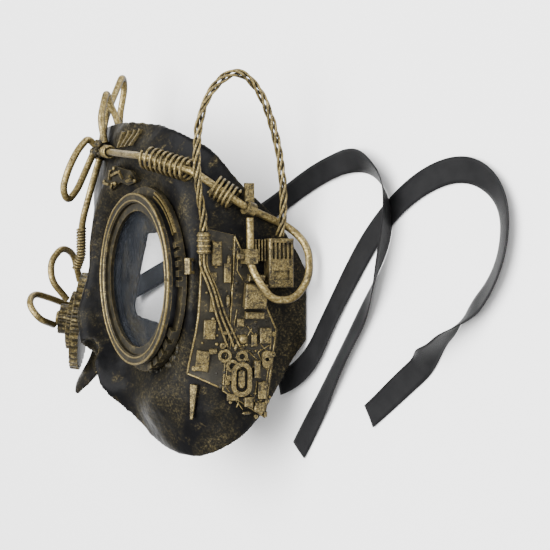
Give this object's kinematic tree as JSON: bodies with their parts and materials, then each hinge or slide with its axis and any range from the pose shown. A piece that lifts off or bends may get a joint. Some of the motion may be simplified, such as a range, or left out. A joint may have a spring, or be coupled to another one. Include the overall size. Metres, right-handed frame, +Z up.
{
  "type": "costume half mask",
  "caption": "Asymmetric half mask in black and antique gold with a round goggle, coil springs, tube loops, boards, stacked gears and tie ribbons.",
  "frame": {"origin": "middle of the footprint, on the surface that the mask lies on", "axes": "+Z up from the table with the mask lying face up, +Y up the forehead, +X towards the wearer's left"},
  "size_m": [0.2849, 0.1727, 0.0711],
  "materials": {
    "black_shell": "black moulded plastic, dry-brushed with antique gold",
    "lens": "clear moulded plastic, lightly scratched",
    "antique_gold": "gold-painted plastic tube with a dark wash",
    "gear_bronze": "bronze-painted plastic, dark in the tooth gaps",
    "wire_gold": "gold-painted wire with a dark wash",
    "dark_bronze": "near-black bronze paint with gold on the edges",
    "board_bronze": "bronze-painted board, worn to gold on the high spots",
    "part_bronze": "bronze-painted plastic, worn to gold on the edges",
    "ribbon": "black satin ribbon",
    "tab": "black glued fabric tab"
  },
  "bodies": {
    "root": {"board_dark": "board_bronze", "board_gold": "board_bronze", "braid_ferrule": "part_bronze", "braided_loop": "wire_gold", "brow_fins": "part_bronze", "brow_spring_inner": "wire_gold", "brow_spring_outer": "wire_gold", "brow_tube": "antique_gold", "cheek_gear_large": "gear_bronze", "cheek_gear_middle": "gear_bronze", "cheek_gear_small": "gear_bronze", "cheek_loop_lower": "antique_gold", "cheek_loop_upper": "antique_gold", "chip_row": "part_bronze", "clamp_nub": "antique_gold", "connector_block": "part_bronze", "connector_pins": "part_bronze", "dome_stud": "part_bronze", "face_shell": "black_shell", "ferrule_tab": "part_bronze", "forehead_badge": "part_bronze", "forehead_loop_back": "antique_gold", "forehead_loop_front": "antique_gold", "forehead_loop_mid": "antique_gold", "gear_seat": "gear_bronze", "gear_spindle": "gear_bronze", "goggle_barrel": "dark_bronze", "goggle_bezel": "antique_gold", "goggle_flange": "dark_bronze", "goggle_lens": "lens", "goggle_ridge_strips": "antique_gold", "heat_sink_fins": "part_bronze", "knot_wrap": "antique_gold", "lens_retaining_ring": "dark_bronze", "nose_side_tube": "antique_gold", "oval_ring": "part_bronze", "pointer_hand": "part_bronze", "post_pin": "part_bronze", "relay_body": "part_bronze", "relay_cap": "part_bronze", "relay_foot": "part_bronze", "ribbon_left": "ribbon", "ribbon_right": "ribbon", "ribbon_tab_left": "tab", "ribbon_tab_right": "tab", "ring_boss": "part_bronze", "signal_wires": "wire_gold", "small_washer": "part_bronze", "square_block": "part_bronze", "stub_collar": "antique_gold", "tube_clamp": "antique_gold", "u_bracket": "part_bronze", "wire_terminals": "part_bronze"}
  },
  "joints": []
}
